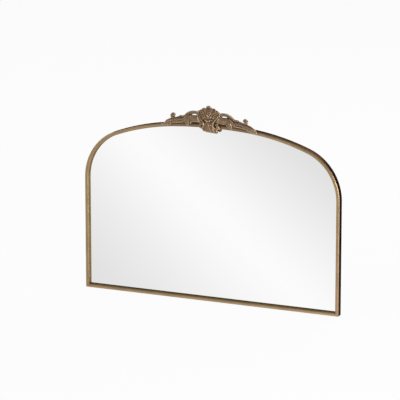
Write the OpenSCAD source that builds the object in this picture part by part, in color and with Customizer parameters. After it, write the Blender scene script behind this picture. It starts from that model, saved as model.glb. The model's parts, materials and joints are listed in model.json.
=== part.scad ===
// Arched wall mirror: a slim hollow rail round a five-centred arch, with a cast crest on the crown
// X points to the viewer's right, Y to the wall and Z up, all in millimetres
// The origin is on the wall, midway between the two points where hooks carry the hanger rings

/* [Arch] */
// Width over the two side legs
overall_w = 1016; // [800:1:1300]
// Height of the straight side legs, from the bottom edge to where the shoulders start
leg_h = 423; // [380:1:700]
// Outer radius of the two shoulders
shoulder_r = 195; // [130:1:230]
// Distance from the centre line to where the crown's flat arc meets the haunches beside it
crown_half = 135; // [110:1:160]

/* [Rail] */
// Width of the rail's face
rail_w = 14; // [13.5:0.5:20]
// Wall of the hollow front chamber
rail_wall = 1.5; // [1.2:0.1:1.8]
// Thickness of the solid rear wall that takes the clip screws
rear_wall = 5; // [4.6:0.1:5.2]
// Depth from the front face to the seat that the glass lies on
seat_depth = 12; // [8.5:0.5:14]
// Radius of the rail's two front edges
edge_r = 4; // [2:0.5:4.5]
// Radius of the chamber's inner corners
chamber_r = 1; // [0.5:0.1:1.5]
// Radius of the two outer bottom corners
corner_r = 4; // [2:0.5:8]
// Seam at each mitre
mitre_gap = 0.2; // [0.1:0.1:0.4]

/* [Glass and backing] */
// Thickness of the mirror glass
glass_t = 3; // [3:0.5:5]
// Gap between the glass's edge and the rail's rear wall
glass_gap = 1.5; // [1:0.1:2]
// Thickness of the foam tape between glass and board
tape_t = 1; // [0.5:0.1:2]
// Width of a tape strip
tape_w = 20; // [10:1:40]
// Length of a tape strip
tape_l = 440; // [200:1:460]
// Height of the strips' lower ends above the bottom edge
tape_z = 60; // [30:1:90]
// Number of tape strips
tape_count = 4; // [2:1:4]
// Distance from one strip to the next
tape_pitch = 190; // [100:1:200]
// Thickness of the backing board
board_t = 6; // [6:0.5:9]
// Gap between the board's edge and the rail's rear wall
board_gap = 1; // [0.5:0.1:2]
// Length of a spacer under or beside the glass
spacer_l = 30; // [15:1:60]
// Distance of the two lower spacers from the centre line
spacer_x = 250; // [150:1:320]
// Height of the two side spacers above the bottom edge
spacer_z = 220; // [150:1:280]

/* [Corner keys] */
// Length of each arm of a corner key, from the rail's outer edge
key_arm = 40; // [34:1:60]
// Gap between a key and the chamber round it
key_gap = 0.15; // [0.1:0.05:0.3]
// Distance of each key screw from the rail's outer edge
key_screw_at = 28; // [24:1:30]

/* [Screws] */
// Diameter of a screw's shank
screw_d = 3; // [2.5:0.1:3]
// Diameter of a screw's head
head_d = 5; // [4.6:0.1:5.6]
// Height of a pan head
head_h = 1.8; // [1.5:0.1:2]
// Radial gap round a shank in a clearance hole
hole_gap = 0.2; // [0.1:0.05:0.3]
// Radial gap round a shank in its thread
thread_gap = 0.05; // [0.05:0.01:0.1]
// Radial gap round a crest screw's head in the hole that lets it into the chamber
access_gap = 0.2; // [0.1:0.05:0.25]
// Depth of a clip screw in the rail
clip_screw_l = 7; // [5:0.5:9]
// Depth of a hanger screw in the board
hanger_screw_l = 5; // [4:0.5:5]
// Depth of a crest screw in its casting
crest_screw_l = 7; // [5:0.5:8]
// Extra depth of a blind hole past its screw's tip
hole_end_gap = 0.4; // [0.2:0.1:0.8]

/* [Backing clips] */
// Width of a clip
clip_w = 16; // [10:1:24]
// Length of a clip, across rail and board
clip_l = 26; // [20:1:40]
// Thickness of a clip
clip_t = 1; // [0.8:0.1:1.5]
// Distance of a clip's end from the rail's outer edge
clip_inset = 0.5; // [0:0.1:1]
// Heights of the clips on each side leg
clip_leg_z = [110, 330];
// Distance of the outer clips on the bottom rail and on the haunches from the centre line
clip_x = 290; // [170:1:320]

/* [Hangers] */
// Height of the two hook points above the bottom edge
hook_h = 520; // [500:1:540]
// Distance of each hanger from the centre line
hanger_x = 330; // [200:1:350]
// Width of a strap
strap_w = 14; // [10:1:20]
// Thickness of a strap
strap_t = 1; // [0.8:0.1:1.5]
// Length of a strap below the ring's bar
strap_l = 50; // [46:1:80]
// Distance of the first strap screw below the ring's bar
strap_screw_at = 27; // [25:1:28]
// Distance between the two strap screws
strap_screw_pitch = 15; // [8:1:16]
// Wire diameter of a ring
wire_d = 2.5; // [2:0.1:3]
// Bend radius of the ring's two corners, at the middle of the wire
bend_r = 2.5; // [2:0.1:3]
// Straight length of each ring leg
ring_leg = 4.5; // [2:0.5:6]
// Radial running gap between the ring's bar and the strap's loop
loop_gap = 0.08; // [0.05:0.01:0.1]
// Side gap between the loop and the ring's corners
loop_side_gap = 0.5; // [0.3:0.1:1]
// Gap between the hanging ring and the strap under it
ring_gap = 0.4; // [0.3:0.1:0.8]

/* [Bumpers] */
// Diameter of a wall bumper where it sits on the board
bumper_d = 13; // [8:1:20]
// Diameter of a wall bumper at the wall
bumper_tip_d = 10; // [5:1:10]
// Thickness of a wall bumper
bumper_t = 5.5; // [5:0.5:8]
// Distance of the bumpers from the side legs' outer edges
bumper_inset = 60; // [45:1:80]
// Heights of the lower and upper bumpers
bumper_z = [45, 410];

/* [Crest] */
// Rim radius of the shell, from the point where its petals start
shell_r = 46; // [40:1:52]
// Height of the petals' starting point above the crown
shell_root = 25; // [22:0.5:28]
// Angle between the shell's petals
petal_step = 20; // [18:0.5:21]
// Projection of the cartouche's middle in front of the rail
boss_out = 22; // [18:1:26]
// Distance of the seam between cartouche and scroll from the centre line, at the crown
seam_x = 36; // [34:0.5:38]
// Gap at that seam
seam_gap = 0.3; // [0.2:0.1:0.6]
// Radius of the solid pad round each crest screw
pad_r = 4.5; // [3.5:0.5:5]
// Distance along the crown from the centre line to each cartouche screw
cartouche_screw_s = 16; // [12:1:20]
// Distances along the crown from the centre line to each scroll's screws
scroll_screw_s = [88, 168];

/* [Hidden] */
$fn = 180;
// Facets round a rounded form of the crest
boss_fn = 12;
// Facets round a screw hole in the crest
pad_fn = 24;
// Sweep of a bend past the plane that trims it
trim_angle = 1;
// Overlap of a cutting tool past the surface that it cuts
cut = 1;

// Size of the box in front of the rail that holds a casting
crest_room = 60;
// Lean of the seam beside the cartouche, and the height over the crown at which it starts
seam_slope = 0.2;
seam_foot = 3;
// Petals of the shell: angle step from the middle, radius of the round tip, forward reach of the tip
petals = [[0, 9.5, 6], [1.5, 7, 6], [2.4, 6, 5], [3.2, 5.5, 4]];

rail_colour = [0.56, 0.44, 0.30];
crest_colour = [0.50, 0.39, 0.27];
glass_colour = [0.88, 0.90, 0.90];
board_colour = [0.45, 0.33, 0.22];
steel_colour = [0.70, 0.70, 0.70];
rubber_colour = [0.12, 0.12, 0.12];

half_w = overall_w / 2;
shoulder_x = half_w - shoulder_r;

// Lines on which shoulder and haunch, and haunch and crown, meet: the first by its angle over the
// horizontal, the second by its turn from the first, both with cosines that are exact in decimals
join_cos = 0.352;
turn_cos = 0.96;
join_angle = acos(join_cos);
turn_angle = acos(turn_cos);
crown_angle = join_angle + turn_angle;
crown_cos = cos(crown_angle);
// Distance between the centres of shoulder and haunch
haunch_gap = round((shoulder_x - crown_half + crown_cos * shoulder_r) / (join_cos - crown_cos) * 10) / 10;
haunch_r = shoulder_r + haunch_gap;
haunch_x = shoulder_x - haunch_gap * join_cos;
haunch_z = leg_h - haunch_gap * sin(join_angle);
// Distance between the centres of haunch and crown
crown_gap = round(haunch_x / crown_cos * 10) / 10;
crown_r = haunch_r + crown_gap;
// Height of the crown arc's centre, which lies far below the bottom edge
crown_z = haunch_z - crown_gap * sin(crown_angle);
// Length of half the crown arc
crown_s = crown_r * (90 - crown_angle) * PI / 180;

glass_depth = seat_depth;
tape_depth = glass_depth + glass_t;
board_depth = tape_depth + tape_t;
rail_depth = board_depth + board_t;
wall_depth = rail_depth + bumper_t;
glass_inset = rear_wall + glass_gap;
board_inset = rear_wall + board_gap;

screw_r = screw_d / 2;
head_r = head_d / 2;
hole_r = screw_r + hole_gap;
thread_r = screw_r + thread_gap;
access_r = head_r + access_gap;
// Distance of the screws in the seat from the rail's outer edge
seat_screw_u = rear_wall + access_r + access_gap;
// The clip screws' heads line up with the rail's outer edge
clip_screw_u = head_r;

wire_r = wire_d / 2;
loop_r = wire_r + loop_gap;
// Height of the ring's bar over the board
pivot_h = strap_t + ring_gap + wire_r;
ring_half_w = strap_w / 2 + loop_side_gap + bend_r;
// Distance from the ring's bar to the inside of its round end, where a hook carries it
ring_reach = bend_r + ring_leg + ring_half_w - wire_r;
pivot_z = hook_h - ring_reach;

// Point by distance s along crown and haunch, height h over their edge, and distance out in front
function on_crown(s, h, out) =
    let (
        side = s < 0 ? -1 : 1,
        on_haunch = side * s > crown_s,
        centre = on_haunch ? [haunch_x, haunch_z] : [0, crown_z],
        radius = on_haunch ? haunch_r : crown_r,
        start = on_haunch ? crown_s : 0,
        lean = (on_haunch ? 90 - crown_angle : 0) + (side * s - start) / radius * 180 / PI
    )
    [side * (centre[0] + (radius + h) * sin(lean)), -out, centre[1] + (radius + h) * cos(lean)];

// Where the clips sit: position on the rail's outer edge, and the inward direction
function clip_places() = concat(
    [for (side = [-1, 1], z = clip_leg_z) [side * half_w, z, side > 0 ? 180 : 0]],
    [for (x = [-clip_x, 0, clip_x]) [x, 0, 90]],
    [for (side = [-1, 1], arc = [
            [shoulder_x, leg_h, shoulder_r, join_angle / 2],
            [haunch_x, haunch_z, haunch_r, acos((clip_x - haunch_x) / haunch_r)]
        ])
        let (angle = side > 0 ? arc[3] : 180 - arc[3])
        [side * arc[0] + arc[2] * cos(angle), arc[1] + arc[2] * sin(angle), angle + 180]],
    [[0, crown_z + crown_r, 270]]
);

// Moves what is drawn from the bottom edge and front face into the part's own frame
module place() {
    translate([0, -wall_depth, -hook_h]) children();
}

// A flat sheet of a given outline in X and Z, from one depth behind the front face to another
module sheet(depth, thickness) {
    translate([0, depth + thickness, 0])
        rotate([90, 0, 0])
            linear_extrude(thickness) children();
}

// What lies over the local X axis, and what lies under it
module above() {
    intersection() {
        children();
        translate([-2 * crown_r, 0]) square([4 * crown_r, 4 * crown_r]);
    }
}

module below() {
    intersection() {
        children();
        translate([-2 * crown_r, -4 * crown_r]) square([4 * crown_r, 4 * crown_r]);
    }
}

// Right half of the area inside the arch, drawn in from the rails' outer edges
module half_area(inset) {
    translate([0, inset]) square([half_w - inset, leg_h - inset]);
    intersection() {
        translate([shoulder_x, leg_h]) rotate(join_angle) {
            below() circle(shoulder_r - inset);
            above() translate([-haunch_gap, 0]) rotate(turn_angle) {
                below() circle(haunch_r - inset);
                above() translate([-crown_gap, 0]) circle(crown_r - inset);
            }
        }
        translate([0, leg_h]) square([half_w + cut, crown_r]);
    }
}

module arch_area(inset) {
    half_area(inset);
    mirror([1, 0, 0]) half_area(inset);
}

// Hollow of the rail's front: X runs in from the outer edge, Y back from the front face
module chamber_section() {
    low = rail_wall + chamber_r;
    translate([low, rail_wall]) square([rail_w - 2 * low, seat_depth - 2 * rail_wall]);
    translate([rail_wall, low]) square([rail_w - 2 * rail_wall, seat_depth - 2 * low]);
    for (x = [low, rail_w - low], y = [low, seat_depth - low])
        translate([x, y]) circle(chamber_r);
}

// Section of the rail: the hollow front with two round edges, and the rear wall beside the rebate
module rail_section() {
    difference() {
        union() {
            for (x = [edge_r, rail_w - edge_r])
                translate([x, edge_r]) circle(edge_r);
            translate([edge_r, 0]) square([rail_w - 2 * edge_r, edge_r]);
            translate([0, edge_r]) square([rail_w, seat_depth - edge_r]);
            translate([0, edge_r]) square([rear_wall, rail_depth - edge_r]);
        }
        chamber_section();
    }
}

// The section bent round an axis along Y, from the X axis through an angle
module rail_bend(radius, angle) {
    rotate([90, 0, 0])
        rotate_extrude(angle = angle) translate([radius, 0]) rotate(180) rail_section();
}

// Right half of the arch: leg, shoulder, haunch and half the crown
module half_arch() {
    translate([half_w, 0, 0]) mirror([1, 0, 0]) linear_extrude(leg_h) rail_section();
    intersection() {
        translate([shoulder_x, 0, leg_h]) rotate([0, -join_angle, 0]) {
            rail_bend(shoulder_r, -join_angle - trim_angle);
            intersection() {
                translate([-haunch_gap, 0, 0]) rotate([0, -turn_angle, 0]) {
                    rail_bend(haunch_r, -turn_angle - trim_angle);
                    translate([-crown_gap, 0, 0]) rail_bend(crown_r, 90 - crown_angle + trim_angle);
                }
                translate([-2 * crown_r, -cut, 0]) cube([4 * crown_r, rail_depth + 2 * cut, 2 * crown_r]);
            }
        }
        translate([0, -cut, leg_h]) cube([half_w + cut, rail_depth + 2 * cut, crown_r]);
    }
}

// What a mitre takes off the rail that lies past the diagonal, at each bottom corner
module mitre_cuts(of_leg) {
    reach = 2 * rail_w;
    seam = mitre_gap / sqrt(2);
    for (side = [0, 1])
        mirror([side, 0, 0])
            translate([-half_w, 0, 0])
                sheet(-cut, rail_depth + 2 * cut)
                    mirror(of_leg ? [0, 0] : [1, -1])
                        polygon([
                            [-cut, -2 * cut], [-cut, seam - cut], [reach, reach + seam], [reach, -2 * cut]
                        ]);
}

// What the round corner takes off both rails
module corner_cut() {
    for (side = [0, 1])
        mirror([side, 0, 0])
            translate([-half_w, 0, 0])
                sheet(-cut, rail_depth + 2 * cut)
                    difference() {
                        translate([-cut, -cut]) square(corner_r + cut);
                        translate([corner_r, corner_r]) circle(corner_r);
                    }
}

// A straight round bar or hole along Y, from one depth to another
module bar_y(x, z, depth, length, radius, facets = $fn) {
    translate([x, depth + length, z])
        rotate([90, 0, 0]) cylinder(h = length, r = radius, $fn = facets);
}

// Places of the key screws in the side legs, and in the bottom rail
function leg_key_screws() = [for (side = [-1, 1]) [side * (half_w - seat_screw_u), key_screw_at]];
function bottom_key_screws() = [for (side = [-1, 1]) [side * (half_w - key_screw_at), seat_screw_u]];

// Countersunk hole for a key screw, through the seat
module key_screw_hole(at) {
    bar_y(at[0], at[1], seat_depth - rail_wall - cut, rail_wall + 2 * cut, hole_r);
    translate([at[0], seat_depth, at[1]])
        rotate([90, 0, 0]) cylinder(h = rail_wall, r1 = head_r, r2 = screw_r);
}

// Blind holes in the rail's rear edge for the clip screws
module clip_screw_holes() {
    for (clip = clip_places())
        translate([clip[0], 0, clip[1]])
            rotate([0, -clip[2], 0])
                bar_y(clip_screw_u, 0, rail_depth - clip_screw_l - hole_end_gap,
                    clip_screw_l + hole_end_gap + cut, thread_r);
}

// Places of the crest screws on the rail
function cartouche_screws() = [for (side = [-1, 1]) on_crown(side * cartouche_screw_s, -seat_screw_u, 0)];
function scroll_screws(side) = [for (s = scroll_screw_s) on_crown(side * s, -seat_screw_u, 0)];
function crest_screw_places() = concat(cartouche_screws(), scroll_screws(-1), scroll_screws(1));

// Shank holes in the chamber's front wall, and the access holes for the heads in the seat
module crest_screw_holes() {
    for (at = crest_screw_places()) {
        bar_y(at[0], at[2], -cut, rail_wall + 2 * cut, hole_r);
        bar_y(at[0], at[2], seat_depth - rail_wall - cut, rail_wall + 2 * cut, access_r);
    }
}

module arch_rail() {
    color(rail_colour) place() difference() {
        union() {
            half_arch();
            mirror([1, 0, 0]) half_arch();
        }
        mitre_cuts(true);
        corner_cut();
        for (at = leg_key_screws()) key_screw_hole(at);
        clip_screw_holes();
        crest_screw_holes();
    }
}

module bottom_rail() {
    color(rail_colour) place() difference() {
        translate([-half_w, 0, 0]) rotate([90, 0, 90]) linear_extrude(overall_w)
            mirror([1, -1]) rail_section();
        mitre_cuts(false);
        corner_cut();
        for (at = bottom_key_screws()) key_screw_hole(at);
        clip_screw_holes();
    }
}

// An L-shaped key that joins leg and bottom rail from inside their chambers
module corner_key(side) {
    low = rail_wall + key_gap;
    wide = rail_w - 2 * low;
    deep = seat_depth - 2 * low;
    start = mitre_gap + max(low, corner_r - (corner_r - low) / sqrt(2));
    color(steel_colour) place() difference() {
        mirror([side > 0 ? 1 : 0, 0, 0])
            translate([-half_w, 0, 0]) {
                translate([low, low + chamber_r, start]) cube([wide, deep - 2 * chamber_r, key_arm - start]);
                translate([low + chamber_r, low, start]) cube([wide - 2 * chamber_r, deep, key_arm - start]);
                translate([start, low + chamber_r, low]) cube([key_arm - start, deep - 2 * chamber_r, wide]);
                translate([start, low, low + chamber_r]) cube([key_arm - start, deep, wide - 2 * chamber_r]);
            }
        for (at = concat(leg_key_screws(), bottom_key_screws()))
            bar_y(at[0], at[1], 0, seat_depth, thread_r);
    }
}

module corner_key_left() { corner_key(-1); }
module corner_key_right() { corner_key(1); }

module corner_key_screws() {
    color(steel_colour) place()
        for (at = concat(leg_key_screws(), bottom_key_screws())) {
            bar_y(at[0], at[1], rail_wall + 2 * key_gap, seat_depth - rail_wall - 2 * key_gap, screw_r);
            translate([at[0], seat_depth, at[1]])
                rotate([90, 0, 0]) cylinder(h = rail_wall, r1 = head_r, r2 = screw_r);
        }
}

module mirror_glass() {
    color(glass_colour) place() sheet(glass_depth, glass_t) arch_area(glass_inset);
}

// Soft blocks that keep the glass off the rail's rear wall
module glass_spacers() {
    color(rubber_colour) place()
        for (side = [-1, 1]) {
            translate([side * spacer_x - spacer_l / 2, glass_depth, rear_wall])
                cube([spacer_l, glass_t, glass_gap]);
            translate([side * (half_w - rear_wall - glass_gap / 2) - glass_gap / 2, glass_depth, spacer_z])
                cube([glass_gap, glass_t, spacer_l]);
        }
}

module mounting_tape() {
    color(glass_colour) place()
        for (i = [0 : tape_count - 1])
            translate([(i - (tape_count - 1) / 2) * tape_pitch - tape_w / 2, tape_depth, tape_z])
                cube([tape_w, tape_t, tape_l]);
}

// Places of the screws through one strap
function strap_screws(side) = [for (i = [0, 1])
    [side * hanger_x, pivot_z - strap_screw_at - i * strap_screw_pitch]];

module backing_board() {
    color(board_colour) place() difference() {
        sheet(board_depth, board_t) arch_area(board_inset);
        for (at = concat(strap_screws(-1), strap_screws(1)))
            bar_y(at[0], at[1], rail_depth - hanger_screw_l - hole_end_gap,
                hanger_screw_l + hole_end_gap + cut, thread_r);
    }
}

// One clip, drawn inwards along X from the rail's outer edge
module clip() {
    difference() {
        translate([0, clip_t, 0]) rotate([90, 0, 0]) linear_extrude(clip_t) union() {
            translate([clip_inset, -clip_w / 2]) square([clip_l - clip_w / 2, clip_w]);
            translate([clip_inset + clip_l - clip_w / 2, 0]) circle(clip_w / 2);
        }
        bar_y(clip_screw_u, 0, -cut, clip_t + 2 * cut, hole_r);
    }
}

module backing_clips() {
    color(steel_colour) place()
        for (at = clip_places())
            translate([at[0], rail_depth, at[1]]) rotate([0, -at[2], 0]) clip();
}

// A pan-head screw along Y: its shank goes forward from the surface, and its head stands behind it
module pan_screw(grip, length) {
    bar_y(0, 0, -length, length + grip, screw_r);
    bar_y(0, 0, grip, head_h, head_r);
}

module backing_clip_screws() {
    color(steel_colour) place()
        for (at = clip_places())
            translate([at[0], rail_depth, at[1]])
                rotate([0, -at[2], 0])
                    translate([clip_screw_u, 0, 0]) pan_screw(clip_t, clip_screw_l);
}

// A strap: a plate with a round end and two holes, folded round the ring's bar
module hanger_strap(side) {
    color(steel_colour) place() translate([side * hanger_x, rail_depth, pivot_z]) difference() {
        union() {
            translate([-strap_w / 2, 0, strap_w / 2 - strap_l])
                cube([strap_w, strap_t, strap_l - strap_w / 2]);
            bar_y(0, strap_w / 2 - strap_l, 0, strap_t, strap_w / 2);
            translate([-strap_w / 2, pivot_h, 0])
                rotate([0, 90, 0]) cylinder(h = strap_w, r = loop_r + strap_t);
        }
        translate([-strap_w / 2 - cut, pivot_h, 0])
            rotate([0, 90, 0]) cylinder(h = strap_w + 2 * cut, r = loop_r);
        for (i = [0, 1])
            bar_y(0, -strap_screw_at - i * strap_screw_pitch, -cut, strap_t + 2 * cut, hole_r);
    }
}

module hanger_strap_left() { hanger_strap(-1); }
module hanger_strap_right() { hanger_strap(1); }

// A D-shaped ring of round wire that hangs from the strap's loop
module hanger_ring(side) {
    bar_half = ring_half_w - bend_r;
    arc_z = -bend_r - ring_leg;
    color(steel_colour) place() translate([side * hanger_x, rail_depth + pivot_h, pivot_z]) {
        translate([-bar_half, 0, 0]) rotate([0, 90, 0]) cylinder(h = 2 * bar_half, r = wire_r);
        for (i = [0, 1])
            mirror([i, 0, 0]) {
                translate([bar_half, 0, -bend_r])
                    rotate([90, 0, 0]) rotate_extrude(angle = 90) translate([bend_r, 0]) circle(wire_r);
                translate([ring_half_w, 0, arc_z]) cylinder(h = ring_leg, r = wire_r);
            }
        translate([0, 0, arc_z])
            rotate([90, 0, 0])
                rotate([0, 0, 180]) rotate_extrude(angle = 180) translate([ring_half_w, 0]) circle(wire_r);
    }
}

module hanger_ring_left() { hanger_ring(-1); }
module hanger_ring_right() { hanger_ring(1); }

module hanger_screws() {
    color(steel_colour) place()
        for (at = concat(strap_screws(-1), strap_screws(1)))
            translate([at[0], rail_depth, at[1]]) pan_screw(strap_t, hanger_screw_l);
}

module wall_bumpers() {
    color(rubber_colour) place()
        for (side = [-1, 1], z = bumper_z)
            translate([side * (half_w - bumper_inset), rail_depth + bumper_t, z])
                rotate([90, 0, 0]) cylinder(h = bumper_t, r1 = bumper_tip_d / 2, r2 = bumper_d / 2);
}

// A rounded form through balls, each [s, h, out, radius] on the crown
module ribbon(balls) {
    for (i = [0 : len(balls) - 2])
        hull()
            for (b = [balls[i], balls[i + 1]])
                translate(on_crown(b[0], b[1], b[2])) sphere(b[3], $fn = boss_fn);
}

module ball(b) {
    translate(on_crown(b[0], b[1], b[2])) sphere(b[3], $fn = boss_fn);
}

// Solid pads on the rail, and the blind holes that the crest screws cut in them
module screw_pads(places) {
    for (at = places)
        bar_y(at[0], at[2], -crest_screw_l - 2 * hole_end_gap, crest_screw_l + 2 * hole_end_gap,
            pad_r, pad_fn);
}

module screw_threads(places) {
    for (at = places)
        bar_y(at[0], at[2], -crest_screw_l - hole_end_gap, crest_screw_l + hole_end_gap + cut,
            thread_r, pad_fn);
}

// Distance of the seam between the castings from the centre line, at height h over the crown
function seam_at(h) = seam_x + seam_slope * h;

module cartouche_room() {
    top = crown_z + crown_r;
    sheet(-crest_room, crest_room) translate([0, top]) polygon([
        [-crest_room, -crest_room], [crest_room, -crest_room], [crest_room, seam_foot],
        [seam_at(seam_foot), seam_foot], [seam_at(crest_room * 2), crest_room * 2],
        [-seam_at(crest_room * 2), crest_room * 2], [-seam_at(seam_foot), seam_foot],
        [-crest_room, seam_foot]
    ]);
}

module scroll_room() {
    top = crown_z + crown_r;
    sheet(-crest_room, crest_room) translate([seam_gap, top]) polygon([
        [seam_at(-crest_room), -crest_room], [crown_r / 2, -crest_room],
        [crown_r / 2, crest_room * 2], [seam_at(crest_room * 2), crest_room * 2]
    ]);
}

// The middle casting: a fluted shell over a beaded boss, with a leafy pendant below the rail
module crest_cartouche() {
    color(crest_colour) place() difference() {
        intersection() {
            union() {
                for (side = [-1, 1], p = petals) {
                    angle = side * p[0] * petal_step;
                    tip = shell_r - p[1];
                    ribbon([
                        [0, shell_root, boss_out - 9, 6],
                        [sin(angle) * tip, shell_root + cos(angle) * tip, p[2], p[1]]
                    ]);
                }
                ribbon([[0, shell_root, boss_out - 14, 13], [0, 3.5, boss_out - 15, 14]]);
                for (side = [-1, 1]) {
                    ribbon([
                        [side * 36, 34, 9, 4], [side * 27, 19.5, 12, 4], [side * 19, 6.5, 13, 4],
                        [side * 22, -4, 11, 4], [side * 32, -8, 8, 5]
                    ]);
                    ribbon([[side * 30, 22, 3, 11], [side * 18, 3.5, 5, 12]]);
                    ribbon([[side * 8, -2.5, 12, 7], [side * 13, -18.5, 9, 6.5]]);
                    ribbon([[side * 22, -2.5, 6, 6], [side * 31, -9, 5, 6]]);
                    ball([side * 12, 19, boss_out - 7, 4.5]);
                    ball([side * 39, 41, 7, 6]);
                }
                ribbon([[0, -0.5, 14, 7], [0, -17.5, 11, 7]]);
                screw_pads(cartouche_screws());
            }
            cartouche_room();
        }
        screw_threads(cartouche_screws());
    }
}

// A side casting: an acanthus stem along the rail, a C-scroll with a window under it, and a curled bud
module crest_scroll() {
    difference() {
        intersection() {
            union() {
                ribbon([
                    [32, 20, 1, 12], [70, 20, 2, 12], [98, 16, 2, 12], [128, 13, 2, 9.5], [155, 9, 1, 8.5],
                    [185, -1, 1, 4.5]
                ]);
                ribbon([
                    [38, 39, 6, 5], [52, 44, 7, 4.5], [66, 44, 7, 4.5], [80, 39.5, 6, 5], [91, 33, 5, 6],
                    [98, 24, 5, 6]
                ]);
                ribbon([
                    [126, 15.5, 4, 6], [140, 22, 6, 6], [146, 30, 6, 4.5], [142, 36, 6, 4.5],
                    [136, 33.5, 7, 4]
                ]);
                ribbon([[38, 27, 9, 4], [70, 26.5, 11, 4], [94, 18, 9, 4]]);
                ribbon([[38, 17, 10, 4], [68, 15.5, 11, 4], [84, 9, 9, 4]]);
                ribbon([[82, 8, 6, 6], [90, -4, 5, 5]]);
                ribbon([[98, 10, 5, 5], [104, -2, 4, 4.5]]);
                ribbon([[68, 11, 6, 5], [75, 1, 5, 4.5]]);
                ribbon([[150, 10, 3, 6], [163, 10, 4, 5]]);
                ribbon([[160, 2, 3, 6], [171, -4, 4, 5]]);
                ribbon([[172, 2, 4, 5], [185, -3, 5, 4.5]]);
                ball([113, 26, 5, 4.5]);
                screw_pads(scroll_screws(1));
            }
            scroll_room();
        }
        screw_threads(scroll_screws(1));
    }
}

module crest_scroll_left() {
    color(crest_colour) place() mirror([1, 0, 0]) crest_scroll();
}

module crest_scroll_right() {
    color(crest_colour) place() crest_scroll();
}

// Screws whose heads sit in the chamber and whose shanks go forward into the castings
module crest_screws() {
    color(steel_colour) place()
        for (at = crest_screw_places())
            translate([at[0], 0, at[2]]) pan_screw(rail_wall, crest_screw_l);
}

arch_rail();
bottom_rail();
corner_key_left();
corner_key_right();
corner_key_screws();
mirror_glass();
glass_spacers();
mounting_tape();
backing_board();
backing_clips();
backing_clip_screws();
hanger_strap_left();
hanger_strap_right();
hanger_ring_left();
hanger_ring_right();
hanger_screws();
wall_bumpers();
crest_cartouche();
crest_scroll_left();
crest_scroll_right();
crest_screws();
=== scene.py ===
"""Looks of the arched wall mirror, on the frame that the construction gives.

The part's own frame is in metres: X to the viewer's right, Y to the wall, Z up. Rails and crest are
drawn in millimetres: x from the centre line, z over the bottom edge, and out in front of the rails'
face.
"""
import json
import math

import bpy
import numpy as np
from mathutils import Matrix, Vector
from mathutils.geometry import tessellate_polygon

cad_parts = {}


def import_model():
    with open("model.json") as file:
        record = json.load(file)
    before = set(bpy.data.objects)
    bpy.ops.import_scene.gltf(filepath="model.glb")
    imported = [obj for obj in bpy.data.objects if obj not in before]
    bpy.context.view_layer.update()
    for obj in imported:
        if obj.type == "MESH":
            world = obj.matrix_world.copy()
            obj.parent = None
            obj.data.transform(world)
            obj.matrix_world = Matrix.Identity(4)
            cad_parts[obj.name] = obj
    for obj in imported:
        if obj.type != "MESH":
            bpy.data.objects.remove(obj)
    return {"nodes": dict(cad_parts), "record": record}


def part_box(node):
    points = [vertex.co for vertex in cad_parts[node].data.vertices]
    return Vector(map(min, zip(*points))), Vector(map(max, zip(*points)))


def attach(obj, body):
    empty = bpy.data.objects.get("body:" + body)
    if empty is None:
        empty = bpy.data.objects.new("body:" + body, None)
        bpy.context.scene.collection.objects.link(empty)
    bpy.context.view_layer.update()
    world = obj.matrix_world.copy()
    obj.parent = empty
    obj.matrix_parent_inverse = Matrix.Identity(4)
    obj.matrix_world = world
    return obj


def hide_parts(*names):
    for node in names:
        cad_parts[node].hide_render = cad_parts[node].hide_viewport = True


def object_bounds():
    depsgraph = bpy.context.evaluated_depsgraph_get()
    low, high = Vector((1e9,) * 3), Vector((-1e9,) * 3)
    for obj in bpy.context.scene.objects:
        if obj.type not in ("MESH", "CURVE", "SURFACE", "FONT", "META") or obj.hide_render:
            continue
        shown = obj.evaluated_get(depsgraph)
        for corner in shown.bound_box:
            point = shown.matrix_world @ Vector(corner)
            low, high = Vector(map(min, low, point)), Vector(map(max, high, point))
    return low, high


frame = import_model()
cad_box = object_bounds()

MM = 0.001
NODES = frame["nodes"]

# Where the bottom edge and the rails' face lie in the part's frame, in metres
BOTTOM_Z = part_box("bottom_rail")[0][2]
FACE_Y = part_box("bottom_rail")[0][1]

# The arch, as the construction has it, in millimetres: half its width, height of the straight legs,
# radius of the shoulders, and distance from the centre line to where the crown's flat arc ends
HALF_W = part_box("arch_rail")[1][0] / MM
LEG_H = 423
SHOULDER_R = 195
CROWN_HALF = 135
# Cosines of the angle over the horizontal at which a shoulder ends, and of the haunch's turn after it
JOIN_COS = 0.352
TURN_COS = 0.96

# The rails' section, in millimetres: width of the face, depths of the rear edge and of the seat, rear
# wall, radius of both front edges, and wall of the hollow
RAIL_W = 14
RAIL_DEPTH = (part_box("bottom_rail")[1][1] - FACE_Y) / MM
SEAT_DEPTH = (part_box("mirror_glass")[0][1] - FACE_Y) / MM
REAR_WALL = 5
EDGE_R = 4
WALL = 1.5
# Outer radius of the bottom corners, and half of the seam at the mitre in them
CORNER_R = 4
SEAM = 0.1
# Rise of the face's soft dome over the construction's flat face
DOME = 0.35


def to_part(x, z, out):
    """Points of the part's frame from arrays in millimetres."""
    return np.stack([x * MM, FACE_Y - out * MM, BOTTOM_Z + z * MM], axis=-1)


def mesh_object(name, vertices, faces, uv=None, smooth=True):
    """An object at the origin from an array of vertices and a list of faces, with one UV per corner."""
    mesh = bpy.data.meshes.new(name)
    mesh.from_pydata(np.asarray(vertices).tolist(), [], faces)
    if uv is not None:
        layer = mesh.uv_layers.new(name="UVMap")
        layer.data.foreach_set("uv", np.asarray(uv, dtype=np.float32).ravel())
    mesh.polygons.foreach_set("use_smooth", np.full(len(mesh.polygons), smooth))
    mesh.update()
    obj = bpy.data.objects.new(name, mesh)
    bpy.context.scene.collection.objects.link(obj)
    return obj


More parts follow.
